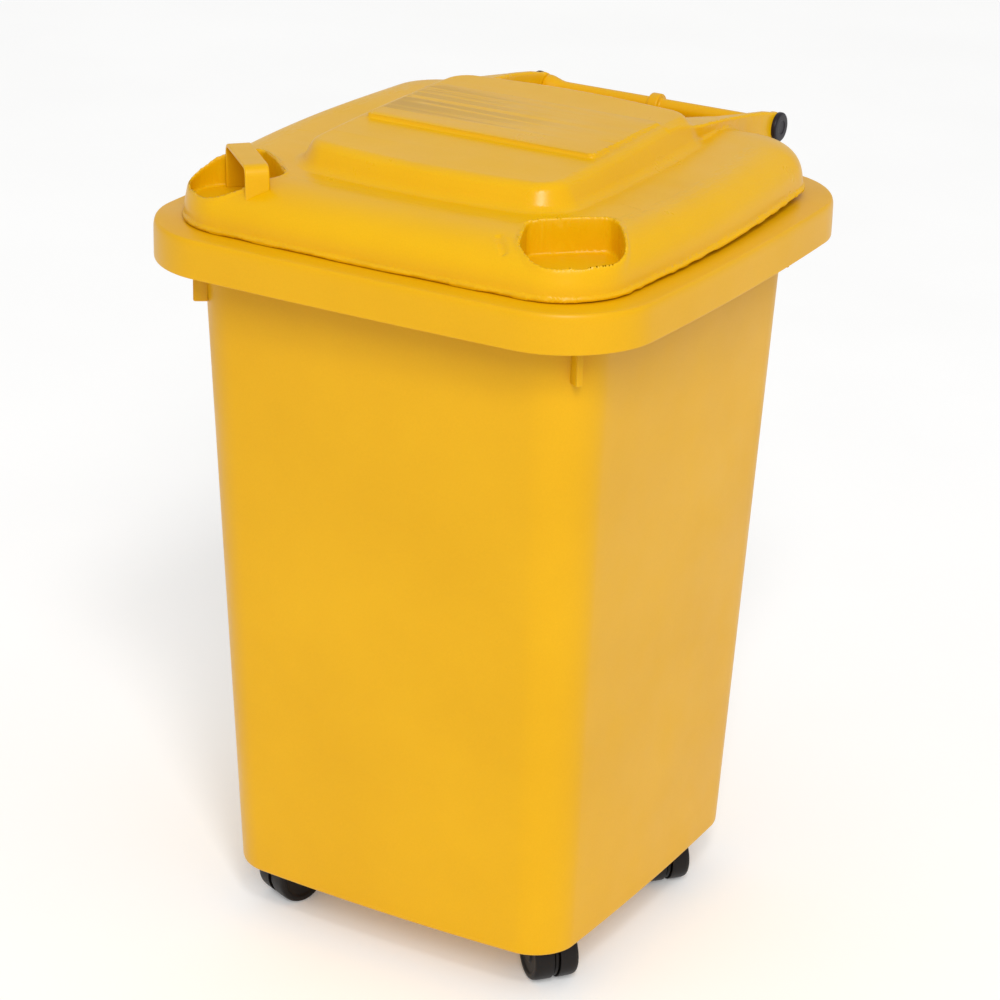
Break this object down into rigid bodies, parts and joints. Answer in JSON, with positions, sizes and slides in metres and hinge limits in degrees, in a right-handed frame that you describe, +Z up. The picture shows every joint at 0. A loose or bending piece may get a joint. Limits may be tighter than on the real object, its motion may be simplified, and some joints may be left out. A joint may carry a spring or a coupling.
{
  "type": "biohazard waste bin",
  "caption": "Tall yellow waste bin on twin-wheel casters, with a tapered tub, a rear handle bar and a domed lid hinged on the bar.",
  "frame": {"origin": "on the floor, under the centre of the whole footprint (rim at the front and sides, hinge heads at the rear)", "axes": "+Z up, +Y to the rear where the handle bar and hinge are, +X to the right as seen from the front"},
  "size_m": [0.4056, 0.4559, 0.6212],
  "materials": {
    "tub_yellow": "satin moulded polyethylene",
    "lid_yellow": "satin moulded polyethylene, slightly lighter than the tub",
    "strap_yellow": "satin, slightly brighter than the lid",
    "pin_black": "smooth dark nylon",
    "hood_black": "fine-grained black nylon",
    "wheel_black": "black nylon, slightly scuffed tread",
    "steel": "plain turned steel"
  },
  "bodies": {
    "tub": {"tub": "tub_yellow", "hinge_pin_left": "pin_black", "hinge_pin_right": "pin_black", "caster_fl_stem": "steel", "caster_fr_stem": "steel", "caster_rl_stem": "steel", "caster_rr_stem": "steel"},
    "lid": {"lid": "lid_yellow", "grip_strap": "strap_yellow"},
    "caster_fl": {"caster_fl_hood": "hood_black", "caster_fl_axle": "steel"},
    "caster_fl_wheel_a": {"caster_fl_wheel_a": "wheel_black"},
    "caster_fl_wheel_b": {"caster_fl_wheel_b": "wheel_black"},
    "caster_fr": {"caster_fr_hood": "hood_black", "caster_fr_axle": "steel"},
    "caster_fr_wheel_a": {"caster_fr_wheel_a": "wheel_black"},
    "caster_fr_wheel_b": {"caster_fr_wheel_b": "wheel_black"},
    "caster_rl": {"caster_rl_hood": "hood_black", "caster_rl_axle": "steel"},
    "caster_rl_wheel_a": {"caster_rl_wheel_a": "wheel_black"},
    "caster_rl_wheel_b": {"caster_rl_wheel_b": "wheel_black"},
    "caster_rr": {"caster_rr_hood": "hood_black", "caster_rr_axle": "steel"},
    "caster_rr_wheel_a": {"caster_rr_wheel_a": "wheel_black"},
    "caster_rr_wheel_b": {"caster_rr_wheel_b": "wheel_black"}
  },
  "joints": [
    {"name": "lid_hinge", "type": "hinge", "parent": "tub", "child": "lid", "pos_m": [0, 0.21645, 0.58], "axis": [-1, 0, 0], "range_deg": [0, 270]},
    {"name": "caster_fl_swivel", "type": "hinge", "parent": "tub", "child": "caster_fl", "pos_m": [-0.1085, -0.11555, 0.046], "axis": [0, 0, 1], "continuous": true},
    {"name": "caster_fl_wheel_a_spin", "type": "hinge", "parent": "caster_fl", "child": "caster_fl_wheel_a", "pos_m": [-0.11299, -0.12668, 0.02], "axis": [-0.9272, 0.3746, 0], "continuous": true},
    {"name": "caster_fl_wheel_b_spin", "type": "hinge", "parent": "caster_fl", "child": "caster_fl_wheel_b", "pos_m": [-0.11299, -0.12668, 0.02], "axis": [-0.9272, 0.3746, 0], "continuous": true},
    {"name": "caster_fr_swivel", "type": "hinge", "parent": "tub", "child": "caster_fr", "pos_m": [0.1085, -0.11555, 0.046], "axis": [0, 0, 1], "continuous": true},
    {"name": "caster_fr_wheel_a_spin", "type": "hinge", "parent": "caster_fr", "child": "caster_fr_wheel_a", "pos_m": [0.11783, -0.1231, 0.02], "axis": [-0.6293, -0.7771, 0], "continuous": true},
    {"name": "caster_fr_wheel_b_spin", "type": "hinge", "parent": "caster_fr", "child": "caster_fr_wheel_b", "pos_m": [0.11783, -0.1231, 0.02], "axis": [-0.6293, -0.7771, 0], "continuous": true},
    {"name": "caster_rl_swivel", "type": "hinge", "parent": "tub", "child": "caster_rl", "pos_m": [-0.1085, 0.06445, 0.046], "axis": [0, 0, 1], "continuous": true},
    {"name": "caster_rl_wheel_a_spin", "type": "hinge", "parent": "caster_rl", "child": "caster_rl_wheel_a", "pos_m": [-0.11978, 0.06855, 0.02], "axis": [0.342, 0.9397, 0], "continuous": true},
    {"name": "caster_rl_wheel_b_spin", "type": "hinge", "parent": "caster_rl", "child": "caster_rl_wheel_b", "pos_m": [-0.11978, 0.06855, 0.02], "axis": [0.342, 0.9397, 0], "continuous": true},
    {"name": "caster_rr_swivel", "type": "hinge", "parent": "tub", "child": "caster_rr", "pos_m": [0.1085, 0.06445, 0.046], "axis": [0, 0, 1], "continuous": true},
    {"name": "caster_rr_wheel_a_spin", "type": "hinge", "parent": "caster_rr", "child": "caster_rr_wheel_a", "pos_m": [0.11769, 0.05674, 0.02], "axis": [-0.6428, -0.766, 0], "continuous": true},
    {"name": "caster_rr_wheel_b_spin", "type": "hinge", "parent": "caster_rr", "child": "caster_rr_wheel_b", "pos_m": [0.11769, 0.05674, 0.02], "axis": [-0.6428, -0.766, 0], "continuous": true}
  ]
}
